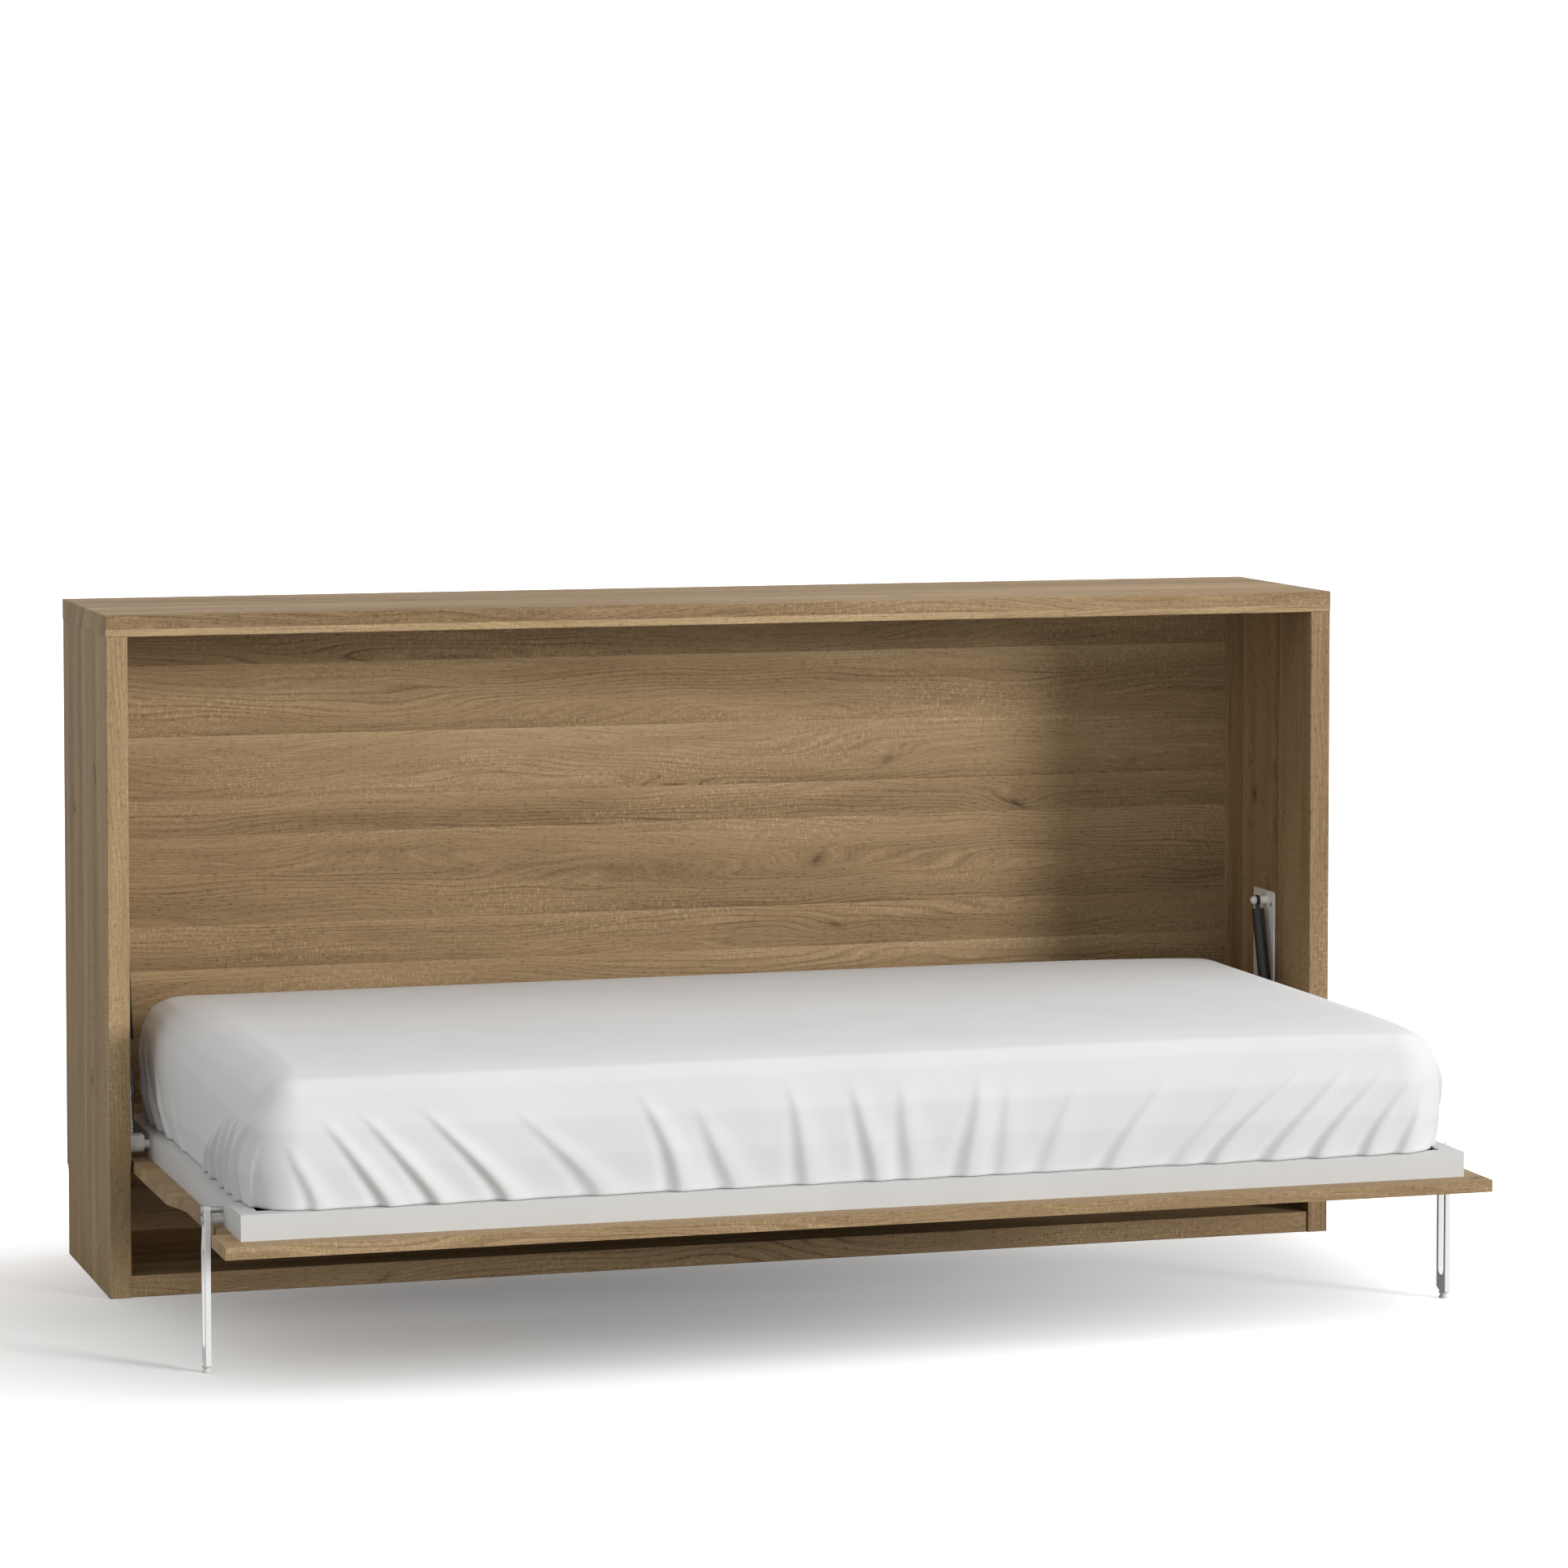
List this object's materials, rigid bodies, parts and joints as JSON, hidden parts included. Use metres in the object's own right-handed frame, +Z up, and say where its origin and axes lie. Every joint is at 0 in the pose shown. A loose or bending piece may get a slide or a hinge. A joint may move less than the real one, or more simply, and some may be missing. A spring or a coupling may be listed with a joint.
{
  "type": "wall bed",
  "caption": "Single bed that folds sideways up into a low oak-look cabinet, on end pivots with gas struts, a tube frame on the front panel and slotted drop legs.",
  "frame": {"origin": "middle of the cabinet's underside, on the floor, halfway along and halfway deep", "axes": "+X along the bed to the right as seen from the room, +Y into the wall, +Z up"},
  "size_m": [2.122, 1.2155, 1.11],
  "materials": {
    "oak_laminate": "satin",
    "beech": "satin",
    "white_steel": "satin",
    "pale_steel": "satin",
    "bright_steel": "satin",
    "black_sleeve": "satin",
    "chrome_rod": "polished",
    "grey_nylon": "satin",
    "white_cotton": "matte"
  },
  "bodies": {
    "cabinet": {"side_panel_left": "oak_laminate", "side_panel_right": "oak_laminate", "top_board": "oak_laminate", "bottom_board": "oak_laminate", "back_panel": "oak_laminate", "wall_rail": "oak_laminate", "dowels": "beech", "wall_brackets": "bright_steel", "bracket_screws": "bright_steel", "hinge_plate_left": "pale_steel", "hinge_plate_right": "pale_steel", "hinge_plate_screws": "bright_steel", "pivot_block_left": "pale_steel", "pivot_block_right": "pale_steel", "pivot_bushes": "grey_nylon", "strut_stud_left": "pale_steel", "strut_stud_right": "pale_steel"},
    "bed": {"front_panel": "oak_laminate", "frame_front_rail": "white_steel", "frame_rear_rail": "white_steel", "frame_left_rail": "white_steel", "frame_right_rail": "white_steel", "cross_bars": "white_steel", "panel_tabs": "white_steel", "panel_screws": "bright_steel", "slats": "beech", "slat_holders": "grey_nylon", "mattress": "white_cotton", "mattress_stops": "white_steel", "pivot_pin_left": "bright_steel", "pivot_pin_right": "bright_steel", "strut_bosses": "white_steel", "leg_spacers": "white_steel", "leg_bolts": "bright_steel", "leg_stops": "bright_steel"},
    "left_leg": {"leg_left": "white_steel", "leg_bush_left": "grey_nylon", "leg_foot_left": "grey_nylon"},
    "left_strut_cylinder": {"strut_eye_left": "black_sleeve", "strut_cover_left": "black_sleeve", "strut_tube_left": "bright_steel", "strut_gland_left": "grey_nylon"},
    "left_strut_rod": {"strut_rod_left": "chrome_rod", "strut_rod_eye_left": "bright_steel", "strut_lower_pin_left": "bright_steel"},
    "right_leg": {"leg_right": "white_steel", "leg_bush_right": "grey_nylon", "leg_foot_right": "grey_nylon"},
    "right_strut_cylinder": {"strut_eye_right": "black_sleeve", "strut_cover_right": "black_sleeve", "strut_tube_right": "bright_steel", "strut_gland_right": "grey_nylon"},
    "right_strut_rod": {"strut_rod_right": "chrome_rod", "strut_rod_eye_right": "bright_steel", "strut_lower_pin_right": "bright_steel"}
  },
  "joints": [
    {"name": "bed_fold", "type": "hinge", "parent": "cabinet", "child": "bed", "pos_m": [0, -0.174, 0.244], "axis": [-1, 0, 0], "range_deg": [0, 90]},
    {"name": "left_leg_fold", "type": "hinge", "parent": "bed", "child": "left_leg", "pos_m": [-1.015, -0.818, 0.2315], "axis": [1, 0, 0], "range_deg": [0, 90]},
    {"name": "left_strut_swing", "type": "hinge", "parent": "cabinet", "child": "left_strut_cylinder", "pos_m": [-1.0045, -0.0215, 0.5555], "axis": [-1, 0, 0], "range_deg": [0, 6.25]},
    {"name": "left_strut_stroke", "type": "slide", "parent": "left_strut_cylinder", "child": "left_strut_rod", "axis": [0, -0.2733, -0.9619], "range_m": [0, 0.0815]},
    {"name": "right_leg_fold", "type": "hinge", "parent": "bed", "child": "right_leg", "pos_m": [1.015, -0.818, 0.2315], "axis": [1, 0, 0], "range_deg": [0, 90]},
    {"name": "right_strut_swing", "type": "hinge", "parent": "cabinet", "child": "right_strut_cylinder", "pos_m": [1.0045, -0.0215, 0.5555], "axis": [-1, 0, 0], "range_deg": [0, 6.25]},
    {"name": "right_strut_stroke", "type": "slide", "parent": "right_strut_cylinder", "child": "right_strut_rod", "axis": [0, -0.2733, -0.9619], "range_m": [0, 0.0815]}
  ],
  "couplings": [
    {"joint": "left_leg_fold", "follows": "bed_fold", "ratio": 1},
    {"joint": "left_strut_swing", "follows": "bed_fold", "ratio": 0.069366},
    {"joint": "left_strut_stroke", "follows": "bed_fold", "m_per_rad": 0.051858},
    {"joint": "right_leg_fold", "follows": "bed_fold", "ratio": 1},
    {"joint": "right_strut_swing", "follows": "bed_fold", "ratio": 0.069366},
    {"joint": "right_strut_stroke", "follows": "bed_fold", "m_per_rad": 0.051858}
  ]
}
